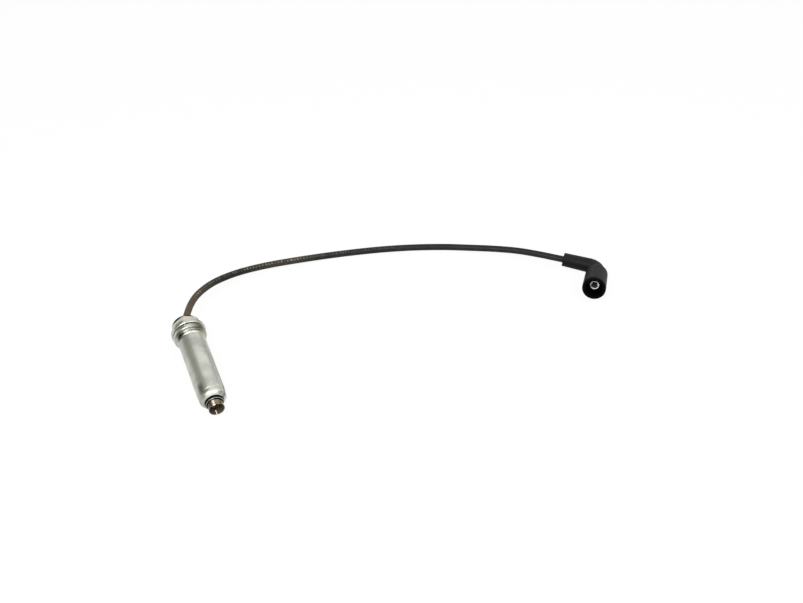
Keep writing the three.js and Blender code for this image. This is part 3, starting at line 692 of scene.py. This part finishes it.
# The cap's radius at angle a goes from the round rim's to the hexagon's as the share of hexagon grows.
# The hexagon's radius is the flat's distance over cos of the angle from its middle, softly held below a peak.
def capGrid():
    c = cap
    half = (c["front"] - c["rimBack"]) / 2
    angle = np.linspace(0, 2 * np.pi, 241)
    fromFlat = (np.degrees(angle) + c["turn"] + 30) % 60 - 30
    flat = c["acrossFlats"] / 2 / np.cos(np.radians(fromFlat))
    peak = c["acrossFlats"] / np.sqrt(3) - c["cornerCut"]
    hold = c["cornerHold"]
    hexagon = -np.log(np.exp(-flat * hold) + np.exp(-peak * hold)) / hold
    rim = rounded([
        [14.5, c["front"]], [c["rimRadius"] - 0.15, c["front"], 1.2], [c["rimRadius"], c["front"] - half, 1.0],
        [c["rimRadius"] - 0.2, c["rimBack"] + 0.3, 1.8], [15.9, c["rimBack"] - 0.1],
    ], 9)
    inside = c["back"] + c["wall"]
    # profile rows: radius for the round share, y, share of hexagon, inset from the hexagon's side
    rows = [(c["skirtRadius"], c["front"], 0, 0)] + [(r, y, 0, 0) for r, y in rim]
    rows += [(15.9, c["rimBack"] - 0.25, 0.55, 0), (15.5, c["rimBack"] - 0.55, 0.9, 0)]
    rows += [(15.4, y, 1, 0) for y in [c["rimBack"] - 1.0, *np.linspace(c["rimBack"] - 2, c["back"] + 1.0, 6)]]
    rows += [(15.4, c["back"] + 1 - math.sin(t), 1, 1 - math.cos(t)) for t in np.radians([20, 40, 60, 80, 90])]
    rows += [(c["opening"], c["back"], 0, 0), (c["opening"], inside, 0, 0), (c["innerRadius"], inside, 0, 0),
             (c["innerRadius"], c["front"] - 0.4, 0, 0), (c["skirtRadius"], c["front"], 0, 0)]
    r, y, share, inset = (np.array(v, float)[:, None] for v in zip(*rows))
    radius = r * (1 - share) + (hexagon[None] - inset) * share
    grid = np.stack([radius * np.cos(angle), y + 0 * radius, radius * np.sin(angle)], -1)
    grid[:, -1] = grid[:, 0]
    return grid


# The flats of the hexagon are duller than the drum in front of them.
def addCapMaterial():
    material = addMaterial("zincCap", looks["brightZinc"], connectorPose)
    drum = endMask(material, "y", *cap["drum"])
    blendInput(material, "Roughness", drum, cap["flatRoughness"])
    blendInput(material, "Metallic", drum, cap["flatMetallic"], 1.0)
    addMarks(material, [cap["stainedFlat"]])
    return material


addPiece("hexCap", [capGrid()], connectorPose, addCapMaterial(), "hex_cap")
print("hexagonal cap drawn")

rubber = addMaterial("rubber", looks["rubber"])

# Grommet

grommet = {
    "flangeRadius": 13.1, "aside": 0.7, "tip": -19.3, "cap": -13.9, "flange": 2.6, "tipRadius": 5.8,
    "bore": 3.62, "neckRadius": 8.7, "footRadius": 12.0, "footBack": -12.4, "footFront": -10.8,
    "end": -3.9, "endRadius": 5.1,
}


# A turned skin, pulled aside by the cable outside the cap, and a bore whose rings are centred on the cable.
def grommetGrid():
    g = grommet
    top = g["cap"] - g["flange"]
    skin = rounded([
        [4.6, g["tip"]], [g["tipRadius"], g["tip"], 0.8], [7.0, g["tip"] + 1.6, 0.8],
        [g["flangeRadius"] - 0.8, top, 0.9], [g["flangeRadius"], top + 0.7, 0.6],
        [g["flangeRadius"], g["cap"], 0.15],
        [g["neckRadius"], g["cap"], 0.1], [g["neckRadius"], g["footBack"], 0.1],
        [g["footRadius"], g["footBack"], 0.1], [g["footRadius"], g["footFront"], 0.1],
        [g["endRadius"], g["footFront"], 0.1], [g["endRadius"], g["end"], 0.1], [4.2, g["end"]]], 6)
    grid = turned(skin, 96)
    pastCap = np.clip((g["cap"] - grid[..., 1]) / 0.4, 0, 1)
    beforeTip = np.clip((grid[..., 1] - g["tip"]) / 2, 0, 1)
    grid[..., 0] += g["aside"] * pastCap * beforeTip
    local = (cableRoute - connectorPose["place"]) @ connectorPose["turn"]
    order = np.argsort(local[:8, 1])
    y = np.linspace(g["end"], g["tip"], 12)
    x, z = (np.interp(y, local[order, 1], local[order, i])[:, None] for i in (0, 2))
    angle = np.linspace(0, 2 * np.pi, 97)
    bore = np.stack([x + g["bore"] * np.cos(angle), y[:, None] + 0 * angle, z + g["bore"] * np.sin(angle)], -1)
    bore[:, -1] = bore[:, 0]
    return np.concatenate([grid, bore, grid[:1]])


addPiece("grommet", [grommetGrid()], connectorPose, rubber, "cable_grommet")
print("grommet drawn")

# Nose: rolled sleeve with an open seam, stepped seal, wire ring and clip

nose = {
    "baseRadius": 7.5, "waist": 7.15, "tipRadius": 7.65, "wall": 0.75, "tip": 103.3, "hidden": 79.4,
    "taper": 98.6,  # where the sleeve begins to narrow
    "seam": 3.5, "seamAt": 275,  # half its width and its side, in degrees
    "outside": (6.95, 7.15), "boreTint": (0.11, 0.085, 0.06), "boreMetallic": 0.3, "boreRoughness": 0.4,
    # painted shade on the outside's two sides, brown on one and olive on the other
    "paintedShadeSides": [{"side": (22, 26, 10), "tint": (0.13, 0.08, 0.07)},
                {"side": (140, 24, 14), "tint": (0.15, 0.145, 0.08)}],
    # a painted highlight line, cream, made less metallic by the loss
    "paintedHighlight": {"side": (74, 8, 5), "tint": (0.98, 0.88, 0.72)}, "paintedHighlightLoss": 0.65,
}
seal = {"radius": 9.1, "lipRadius": 8.1, "bore": 7.8, "back": 87.4, "step": 95.5, "front": 96.9}
ring = {"radius": 8.5, "y": 96.0, "wire": 0.3}
clip = {"radius": 4.82, "y": 93.8, "opening": 70, "wire": 0.4, "inwards": 0.5}


# A profile that narrows, flares a little and folds back round its rolled tip, turned all but the seam.
def noseGrid():
    n = nose
    roll = n["wall"] / 2
    inner = n["waist"] - n["wall"] + 0.1
    profile = np.vstack([
        rounded([[n["baseRadius"], n["hidden"]], [n["baseRadius"], n["taper"], 1.2],
                 [n["waist"], n["tip"] - 1.9, 0.8], [n["tipRadius"] - 0.05, n["tip"] - 0.7]], 6),
        arc(n["tipRadius"] - roll, n["tip"] - roll, roll, 0, 180, 12),
        [[inner, n["tip"] - 1.9], [inner, n["hidden"]]],
    ])
    return partTurned(fine(profile, 1.0), n["seamAt"] + n["seam"], n["seamAt"] + 360 - n["seam"], 132)


# The outside has painted shade on its sides, darker brown on one and darker olive on the other, with a painted
# highlight line, cream and less metallic, between them.
# The bore is dull, less metallic and rougher than the outside.
def addBronze():
    material = addMaterial("bronze", looks["bronze"], connectorPose)
    tree = material.node_tree
    outside = endMask(material, "radius", *nose["outside"])
    addMarks(material, nose["paintedShadeSides"] + [nose["paintedHighlight"]])
    tintWhere(material, mathNode(tree, "SUBTRACT", 1.0, outside), colour(*nose["boreTint"]))
    # The painted highlight is also made less metallic, so that its cream shows.
    loss = product(tree, markMask(material, nose["paintedHighlight"]), nose["paintedHighlightLoss"])
    blendInput(material, "Metallic", mathNode(tree, "SUBTRACT", outside, loss), nose["boreMetallic"], 1.0)
    blendInput(material, "Roughness", outside, nose["boreRoughness"])
    return material


# The seal's stepped section, turned.
def sealGrid():
    s = seal
    corners = [[s["bore"], 90], [s["bore"], s["back"], 0], [s["radius"], s["back"], 0.1],
               [s["radius"], s["step"], 0.5], [s["lipRadius"] + 0.1, s["step"], 0.1],
               [s["lipRadius"], s["front"], 0.3], [s["bore"], s["front"], 0.1]]
    return turned(fine(rounded(corners + corners[:1], 5), 1.0), 96)


# The clip follows an open circle in the socket's groove, and its two ends turn inwards.
def clipPath():
    edge = math.radians(clip["opening"] / 2)
    angle = np.linspace(edge, 2 * np.pi - edge, 80)
    pull = np.clip((np.abs(angle - np.pi) - (np.pi - edge - 0.3)) / 0.3, 0, 1) ** 2
    r = clip["radius"] - clip["inwards"] * pull
    return np.column_stack([r * np.cos(angle), np.full(len(angle), clip["y"]), r * np.sin(angle)])


steelWire = addMaterial("steelWire", looks["steelWire"])
ringWire = addMaterial("ringWire", looks["ringWire"], connectorPose)
ringGrid = turned(arc(ring["radius"], ring["y"], ring["wire"], 0, 360, 17), 96)
addPiece("noseSleeve", [noseGrid()], connectorPose, addBronze(), "nose_sleeve")
addPiece("noseSeal", [sealGrid()], connectorPose, addMaterial("sealRubber", looks["sealRubber"]), "nose_seal")
addPiece("noseRing", [ringGrid], connectorPose, ringWire, "nose_circlip")
addPiece("terminalClip", [wire(clipPath(), clip["wire"], 14)], connectorPose, steelWire, "terminal_clip")
print("nose drawn")

# Elbow boot

boot = {
    "armTip": 38.2, "armTipRadius": 7.2, "armRadius": 7.9, "bend": 10, "mouth": 51.0, "hoodRear": 17.5,
    "hoodRearRadius": 11.7, "hoodRadius": 12.3, "lip": 1.5, "mouthBore": 9.1, "seat": 36.0, "bore": 3.62,
    "well": 27.2, "wellRadius": 5.1,  # the narrower hole behind the seat
    # painted shade under the arm
    "underArm": {"x": (6, 12), "y": (0, 7), "share": 0.8, "tint": (0.002, 0.002, 0.002)},
    # painted shade round the lip and in the bore
    "dark": {"lip": (45, 50), "bore": (30, 34), "boreEdge": (9.3, 9.9), "tint": (0.002, 0.002, 0.0018),
             "specular": 0.025},
}


# The centre line runs along the arm, round a quarter circle and up the hood. At distance s along it, a ring of
# radius r lies across it. r follows the skin from the arm's bore round its tip to the mouth and the seat.
def bootGrid():
    b = boot
    bend = b["bend"]
    quarter = bend * math.pi / 2
    armStart = -(b["armTip"] - bend)
    skin = b["armRadius"] + 0.05

    def hoodAt(y):
        return quarter + y - bend

    rows = np.vstack([
        [[0, armStart + 22], [b["bore"], armStart + 22], [b["bore"], armStart + 1]],
        rounded([[b["bore"], armStart + 0.8], [b["bore"], armStart, 0.3], [b["armTipRadius"], armStart, 0.7],
                 [b["armTipRadius"] + 0.06, armStart + 2]], 6),
        [[b["armRadius"] - 0.12, -2.5], [b["armRadius"], 2], [skin, quarter - 3]],
    ])
    s = np.linspace(quarter - 2, hoodAt(b["hoodRear"]), 24)
    t = (s - s[0]) / (s[-1] - s[0])
    blend = t * t * (3 - 2 * t)
    widening = np.column_stack([skin + (b["hoodRearRadius"] - skin) * blend, s])
    mouth, lip, seat, well = hoodAt(b["mouth"]), b["lip"], hoodAt(b["seat"]), hoodAt(b["well"])
    front = np.vstack([
        [[b["hoodRadius"], hoodAt(44)]],
        arc(b["hoodRadius"] - lip, mouth - lip, lip, 0, 90, 10),
        rounded([[b["mouthBore"] + 0.9, mouth], [b["mouthBore"] + 0.1, mouth, 0.3],
                 [b["mouthBore"] - 0.1, mouth - 1.6, 0.5], [b["mouthBore"] - 0.4, seat, 0.8],
                 [b["wellRadius"] + 0.3, seat, 0.2], [b["wellRadius"], seat - 0.8]], 6),
        [[b["wellRadius"], well], [0, well]],
    ])
    profile = fine(np.vstack([rows, widening, front]), 0.9)
    r, s = profile[:, 0], profile[:, 1]
    turn = np.clip(s / bend, 0, math.pi / 2)
    before, after = np.minimum(s, 0), np.maximum(s - quarter, 0)
    x = bend - bend * np.sin(turn) - before
    y = bend - bend * np.cos(turn) + after
    side = np.stack([-np.sin(turn), -np.cos(turn), 0 * turn], -1)
    angle = np.linspace(0, 2 * np.pi, 121)
    across = np.cos(angle)[None, :, None] * side[:, None] + np.sin(angle)[None, :, None] * np.array([0, 0, 1.0])
    grid = np.stack([x, y, 0 * x], -1)[:, None] + r[:, None, None] * across
    grid[:, -1] = grid[:, 0]
    return grid


# Painted shade makes the rubber blacker under the arm, round the lip and in the bore.
def addBootRubber():
    material = addMaterial("bootRubber", looks["rubber"], bootPose)
    tree = material.node_tree
    under, dark = boot["underArm"], boot["dark"]
    shade = product(tree, *(endMask(material, axis, *under[axis]) for axis in "yx"), under["share"])
    tintWhere(material, shade, colour(*under["tint"]))
    inBore = mathNode(tree, "SUBTRACT", endMask(material, "y", *dark["bore"]),
                      endMask(material, "radius", *dark["boreEdge"]))
    black = mathNode(tree, "MAXIMUM", endMask(material, "y", *dark["lip"]), inBore)
    tintWhere(material, black, colour(*dark["tint"]))
    blendInput(material, "Specular IOR Level", black, looks["rubber"]["specular"], dark["specular"])
    return material


addPiece("elbowBoot", [bootGrid()], bootPose, addBootRubber(), "elbow_boot")
print("boot drawn")

# Coil terminal: four fingers on a cup, a rolled rim, a strip that turns the corner and a barrel

terminal = {
    "radius": 4.8, "wall": 0.5, "back": 27.4, "front": 42.4, "band": 2.2, "bead": 0.55, "slot": 10.5,
    "strip": 4.0, "stripThickness": 0.8, "stripBend": 1.5, "stripStart": 14.4,
    "barrelRadius": 4.4, "barrelBore": 3.8, "barrelStart": 14.1, "barrelEnd": 26, "plateRadius": 4.35,
    "marks": [{"fall": (39.4, 40.4), "tint": (0.10, 0.115, 0.11)},  # painted shade deep in the cage
              {"side": (-30, 22, 14), "tint": (0.30, 0.31, 0.31)}],  # painted shade on one side
}
leaf = {"width": 2.4, "thickness": 0.55, "gap": 2.3, "bow": 1.3, "start": 1.2, "end": 2.4}


# A flat strip bent along a path in the XY plane: its section is width along z by thickness across the path.
def strip(path, width, thickness):
    tangent = np.gradient(path, axis=0)
    tangent /= np.linalg.norm(tangent, axis=1)[:, None]
    across = np.stack([-tangent[:, 1], tangent[:, 0], 0 * tangent[:, 0]], -1)
    corners = np.array([[1, 1], [-1, 1], [-1, -1], [1, -1], [1, 1]]) * np.array([thickness, width]) / 2
    grid = path[:, None] + corners[None, :, :1] * across[:, None] + corners[None, :, 1:] * np.array([0, 0, 1.0])
    caps = [np.broadcast_to(path[i], grid[:1].shape) for i in (0, -1)]
    return np.concatenate([caps[0], grid, caps[1]])


# Cup, rolled band, four fingers that are parts of one turned wall, bent strip, and the barrel with its plate.
# The last two are turned about the arm's axis, so that their x and y change places.
def terminalGrids():
    s = terminal
    inner, outer, back, roll = s["radius"] - s["wall"], s["radius"], s["back"], s["bead"]
    cup = turned(fine(np.array([[0, back], [outer, back], [outer, back + 2], [inner, back + 2],
                                [inner, back + 0.8], [0, back + 0.8]]), 1.0), 72)
    bandBack = s["front"] - s["band"]
    rim = turned(np.vstack([[[inner, bandBack], [outer, bandBack]],
                            arc(outer - roll, s["front"] - roll, roll, 0, 200, 12), [[inner, bandBack]]]), 72)
    wall = np.array([[inner, back + 1.9], [outer, back + 1.9], [outer, bandBack + 0.1],
                     [inner, bandBack + 0.1]])
    half = s["slot"] / 2
    fingers = [partTurned(fine(wall, 1.5), a + half, a + 90 - half, 20) for a in (45, 135, 225, 315)]
    corner, bow = np.radians(np.linspace(0, 90, 8)), s["stripBend"]
    bend = np.column_stack([bow - bow * np.sin(corner), bow - bow * np.cos(corner), 0 * corner])
    path = np.vstack([[[s["stripStart"], 0, 0]], [[8, 0, 0]], bend, [[0, 10, 0]], [[0, back + 0.4, 0]]])
    start, hole = s["barrelStart"], s["barrelBore"]
    barrel = turned(np.array([[hole, start], [s["barrelRadius"], start], [s["barrelRadius"], s["barrelEnd"]],
                              [hole, s["barrelEnd"]], [hole, start]]), 48)[..., [1, 0, 2]]
    plate = turned(np.array([[0, start - 0.1], [s["plateRadius"], start - 0.1], [s["plateRadius"], start + 0.7],
                             [0, start + 0.7]]), 48)[..., [1, 0, 2]]
    return [cup, rim, *fingers, strip(path, s["strip"], s["stripThickness"]), barrel, plate]


def addTerminalTin():
    material = addMaterial("terminalTin", looks["whiteTin"], bootPose)
    addMarks(material, terminal["marks"])
    return material


addPiece("coilTerminal", terminalGrids(), bootPose, addTerminalTin(), "coil_terminal")


# A bowed leaf: a strip whose distance from the socket's axis is a parabola of y.
def leafGrid(way):
    y = np.linspace(terminal["back"] + leaf["start"], terminal["front"] - leaf["end"], 24)
    t = (y - y.mean()) / (y[-1] - y.mean())
    x = way * (leaf["gap"] + leaf["bow"] * t ** 2)
    return strip(np.column_stack([x, y, 0 * y]), leaf["width"], leaf["thickness"])


leafMetal = addMaterial("leaf", looks["leaf"])
addPiece("leafA", [leafGrid(-1)], bootPose, leafMetal, "contact_leaf_a")
addPiece("leafB", [leafGrid(1)], bootPose, leafMetal, "contact_leaf_b")
print("coil terminal drawn")

# Hidden pieces keep their plain shapes.

tin = addMaterial("tin", looks["tin"])
brass = addMaterial("brass", looks["brass"])
phenolic = addMaterial("phenolic", looks["phenolic"])
ceramic = addMaterial("ceramic", looks["ceramic"])
core = addMaterial("core", looks["core"])
keptLooks = {
    "rim_gasket": rubber, "insulator_body": phenolic, "cable_ferrule": brass, "contact_spring": steelWire,
    "resistor_rod": ceramic, "resistor_back_cap": tin, "resistor_front_cap": tin, "plug_terminal": brass,
    "cable_core": core,
}
for nodeName, material in keptLooks.items():
    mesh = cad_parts[nodeName].data
    mesh.materials.clear()
    mesh.materials.append(material)
print("kept pieces painted")

# Stage: a pale floor that keeps the shadow, soft boxes, and dark flags that the metal mirrors

stage = {
    "floorTint": (0.95, 0.95, 0.95), "bounceTint": (0.62, 0.62, 0.62), "whiteShare": 0.93,
    "mirroredShare": 0.72, "worldLight": 0.6, "floorHalf": 3.0, "floorDrop": 0.0002,
    "lamps": {  # place, size and power
        "keyBox": ((-0.35, -0.9, 1.25), (0.7, 0.5), 14),
        "fillBox": ((0.8, -0.5, 1.2), (0.8, 0.8), 6),
    },
    "lookAt": (0, 0.05, 0),
    "flags": {  # centre, the two edges and tint
        "leftFlag": ((-1.3, 0.6, 0.92), (0, 2.4, 0), (0, 0, 1.62), (0.42, 0.42, 0.385)),
        "backFlag": ((0.45, 1.25, 0.12), (1.5, 0, 0), (0, 0, 0.24), (0.30, 0.30, 0.26)),
        "cornerFlag": ((-1.1, -0.8, 0.32), (0.55, -0.85, 0), (0, 0, 0.7), (0.03, 0.03, 0.02)),
        "rightFlag": ((1.1, 0.0, 0.25), (0.3, 1.2, 0), (0, 0, 0.5), (0.16, 0.16, 0.12)),
    },
}


# Nearly white to the camera, less so to what mirrors it, and a plain tint to the light that falls on it.
def addFloor():
    corner = np.array([-stage["floorHalf"], stage["floorHalf"]])
    x, y = np.meshgrid(corner, corner, indexing="ij")
    floor = addMesh("floor", [np.stack([x, y, 0 * x - stage["floorDrop"]], -1)])
    material, tree, shader = newMaterial("floor")
    shader.inputs["Roughness"].default_value = 0.9
    shader.inputs["Specular IOR Level"].default_value = 0.1
    white = tree.nodes.new("ShaderNodeEmission")
    white.inputs["Strength"].default_value = 1.0
    path = tree.nodes.new("ShaderNodeLightPath")
    seen = path.outputs["Is Camera Ray"]
    tint = mixColours(tree, seen, colour(*stage["bounceTint"]), colour(*stage["floorTint"]))
    link(tree, tint, shader.inputs["Base Color"])
    mirrored = mathNode(tree, "MAXIMUM", path.outputs["Is Glossy Ray"], path.outputs["Is Transmission Ray"])
    share = mathNode(tree, "MAXIMUM", product(tree, seen, stage["whiteShare"]),
                     product(tree, mirrored, stage["mirroredShare"]))
    mix = tree.nodes.new("ShaderNodeMixShader")
    link(tree, share, mix.inputs[0])
    link(tree, shader.outputs[0], mix.inputs[1])
    link(tree, white.outputs[0], mix.inputs[2])
    link(tree, mix.outputs[0], tree.nodes["Material Output"].inputs["Surface"])
    floor.data.materials.append(material)


# Columns are the side, the rise and the backward direction of something that faces against it.
def facing(away):
    back = away / np.linalg.norm(away)
    side = np.cross([0, 1, 0.001], back)
    side /= np.linalg.norm(side)
    return np.column_stack([side, np.cross(back, side), back]).tolist()


def addLamp(name, place, size, power):
    data = bpy.data.lights.new(name, "AREA")
    data.shape = "RECTANGLE"
    data.size, data.size_y = size
    data.energy = power
    lamp = bpy.data.objects.new(name, data)
    bpy.context.scene.collection.objects.link(lamp)
    lamp.location = place
    lamp.rotation_euler = Matrix(facing(np.array(place) - np.array(stage["lookAt"]))).to_euler()


# A card that is seen only in what mirrors it: it casts no shadow and gives no diffuse light.
def addFlag(name, centre, across, up, tint):
    u = np.array([-0.5, 0.5])
    a, b = np.meshgrid(u, u, indexing="ij")
    grid = np.array(centre) + a[..., None] * np.array(across) + b[..., None] * np.array(up)
    flag = addMesh(name, [grid])
    material, _, shader = newMaterial(name)
    shader.inputs["Base Color"].default_value = colour(*tint)
    shader.inputs["Roughness"].default_value = 1.0
    shader.inputs["Specular IOR Level"].default_value = 0.0
    flag.data.materials.append(material)
    flag.visible_camera = False
    flag.visible_diffuse = False
    flag.visible_shadow = False


# White to the camera and to what mirrors it, and weaker as a light.
def addWorld():
    world = bpy.data.worlds.new("world")
    bpy.context.scene.world = world
    world.use_nodes = True
    tree = world.node_tree
    shader = tree.nodes["Background"]
    path = tree.nodes.new("ShaderNodeLightPath")
    mirrored = mathNode(tree, "MAXIMUM", path.outputs["Is Glossy Ray"], path.outputs["Is Transmission Ray"])
    seen = mathNode(tree, "MAXIMUM", path.outputs["Is Camera Ray"], mirrored)
    link(tree, remap(tree, seen, 0.0, 1.0, stage["worldLight"], 1.0), shader.inputs["Strength"])
    shader.inputs["Color"].default_value = colour(1, 1, 1)


addFloor()
for lampName, values in stage["lamps"].items():
    addLamp(lampName, *values)
for flagName, values in stage["flags"].items():
    addFlag(flagName, *values)
addWorld()
bpy.context.scene.view_settings.view_transform = "Standard"
print("stage set")
